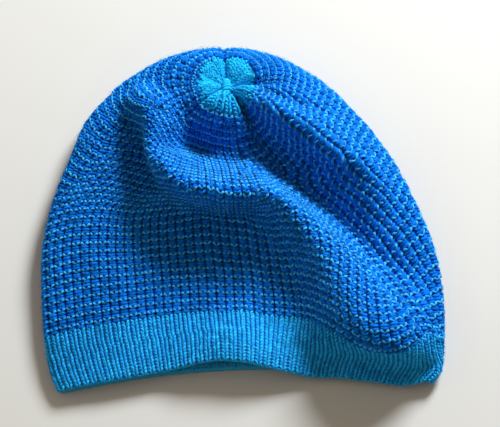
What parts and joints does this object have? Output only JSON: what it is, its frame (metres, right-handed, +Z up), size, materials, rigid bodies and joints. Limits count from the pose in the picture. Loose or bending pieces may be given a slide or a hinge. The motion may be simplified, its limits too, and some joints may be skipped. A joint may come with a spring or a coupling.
{
  "type": "wool beanie",
  "caption": "Slouchy ribbed wool beanie lying flat on its back, with a plain rib band, diagonal folds over the front and a gathered crown.",
  "frame": {"origin": "middle of the outline on the surface the hat lies on, under its back", "axes": "+Z up out of the upper face, +Y from the brim to the gathered crown, +X to the right seen from above with the brim nearest"},
  "size_m": [0.263, 0.2386, 0.0526],
  "materials": {
    "light_wool": "fuzzy light blue wool, one by one rib",
    "blue_wool": "fuzzy wool, light and saturated blue rows in a deep rib",
    "turquoise_wool": "fuzzy turquoise wool, plain stitches drawn together"
  },
  "bodies": {
    "root": {"ribbed_band": "light_wool", "knitted_body": "blue_wool", "crown_gather": "turquoise_wool", "gather_knot": "turquoise_wool"}
  },
  "joints": []
}
